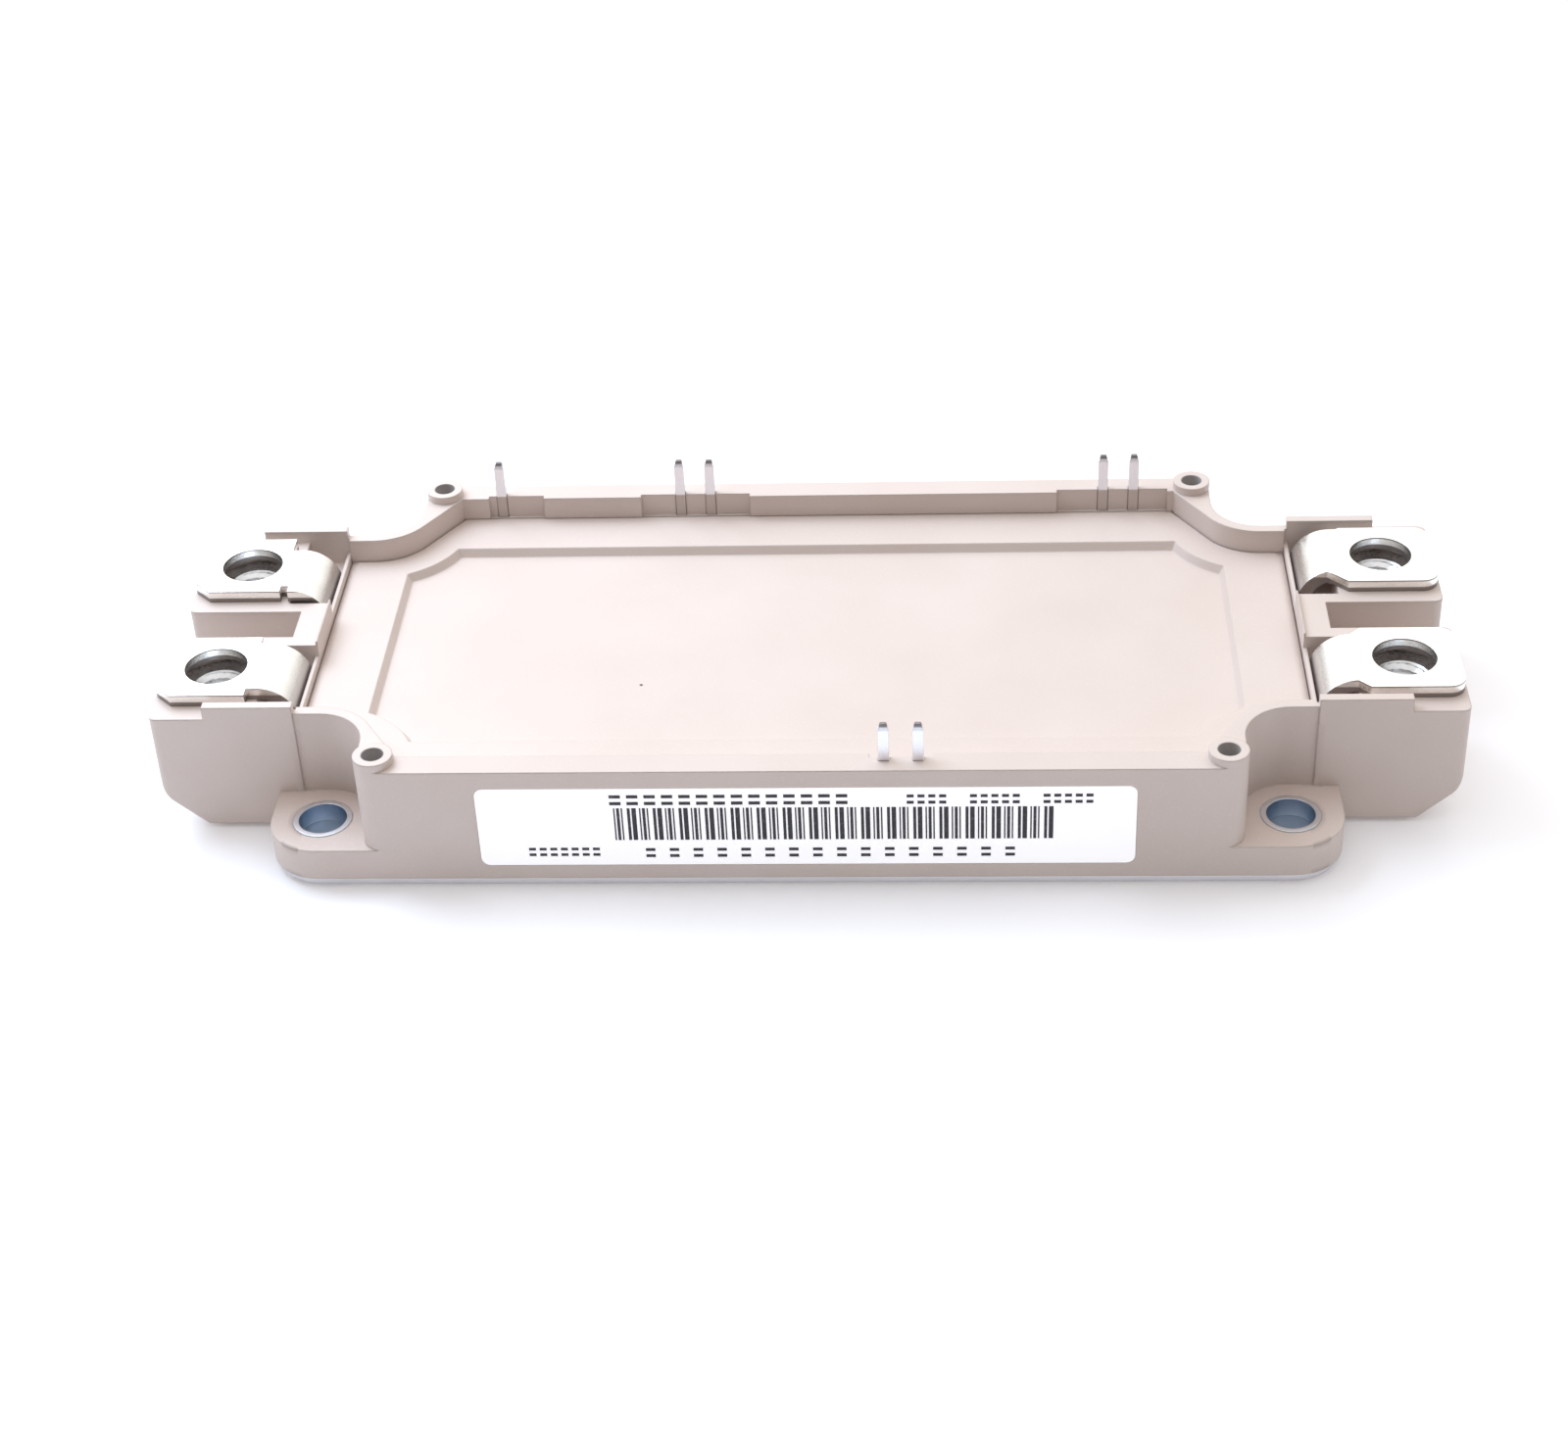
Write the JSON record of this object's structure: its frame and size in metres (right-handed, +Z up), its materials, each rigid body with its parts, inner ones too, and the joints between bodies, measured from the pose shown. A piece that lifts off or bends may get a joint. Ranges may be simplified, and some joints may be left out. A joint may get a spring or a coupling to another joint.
{
  "type": "IGBT power module",
  "caption": "Half-bridge IGBT power module on a metal base plate: pale plastic frame with a sunken lid, strip screw terminals over captive nuts, tall control pins and a plain side label.",
  "frame": {"origin": "Middle of the underside of the metal base plate, which lies on the heatsink.", "axes": "+X along the module from the direct-current terminals to the output terminals, +Y across it from the label side to the side with five control pins, +Z up from the base plate to the terminals."},
  "size_m": [0.15, 0.062, 0.0208],
  "materials": {
    "plastic": "satin glass-filled moulding, warm pale grey",
    "base_metal": "nickel-plated copper plate, fine satin",
    "zinc": "bright zinc-plated steel bushes",
    "nickel": "bright nickel-plated strip",
    "nut_steel": "plated steel nuts",
    "pin_metal": "dull tinned pins",
    "label": "white matt label with plain dark bars",
    "solder": "dull solder",
    "copper": "bare copper",
    "ceramic": "white sintered ceramic",
    "silicon": "polished metallised silicon",
    "thermistor_body": "dark glazed ceramic",
    "wire": "aluminium bond wire",
    "gel": "clear silicone gel"
  },
  "bodies": {
    "root": {"base_plate": "base_metal", "frame": "plastic", "lid": "plastic", "side_label": "label", "terminal_plus": "nickel", "terminal_minus": "nickel", "terminal_output_front": "nickel", "terminal_output_rear": "nickel", "nut_plus": "nut_steel", "nut_minus": "nut_steel", "nut_output_front": "nut_steel", "nut_output_rear": "nut_steel", "collar_front_left": "zinc", "collar_front_right": "zinc", "collar_rear_left": "zinc", "collar_rear_right": "zinc", "control_pin_1": "pin_metal", "control_pin_2": "pin_metal", "control_pin_3": "pin_metal", "control_pin_4": "pin_metal", "control_pin_5": "pin_metal", "control_pin_6": "pin_metal", "control_pin_7": "pin_metal", "solder_sheets": "solder", "lower_copper_left": "copper", "lower_copper_middle": "copper", "lower_copper_right": "copper", "ceramic_left": "ceramic", "ceramic_middle": "ceramic", "ceramic_right": "ceramic", "tracks_left": "copper", "tracks_middle": "copper", "tracks_right": "copper", "igbt_left_upper": "silicon", "igbt_left_lower": "silicon", "igbt_middle_upper": "silicon", "igbt_middle_lower": "silicon", "igbt_right_upper": "silicon", "igbt_right_lower": "silicon", "diode_left_upper": "silicon", "diode_left_lower": "silicon", "diode_middle_upper": "silicon", "diode_middle_lower": "silicon", "diode_right_upper": "silicon", "diode_right_lower": "silicon", "thermistor": "thermistor_body", "chip_wires_left": "wire", "chip_wires_middle": "wire", "chip_wires_right": "wire", "link_wires": "wire", "terminal_wires": "wire", "pin_wires": "wire", "gel_layer": "gel"}
  },
  "joints": []
}
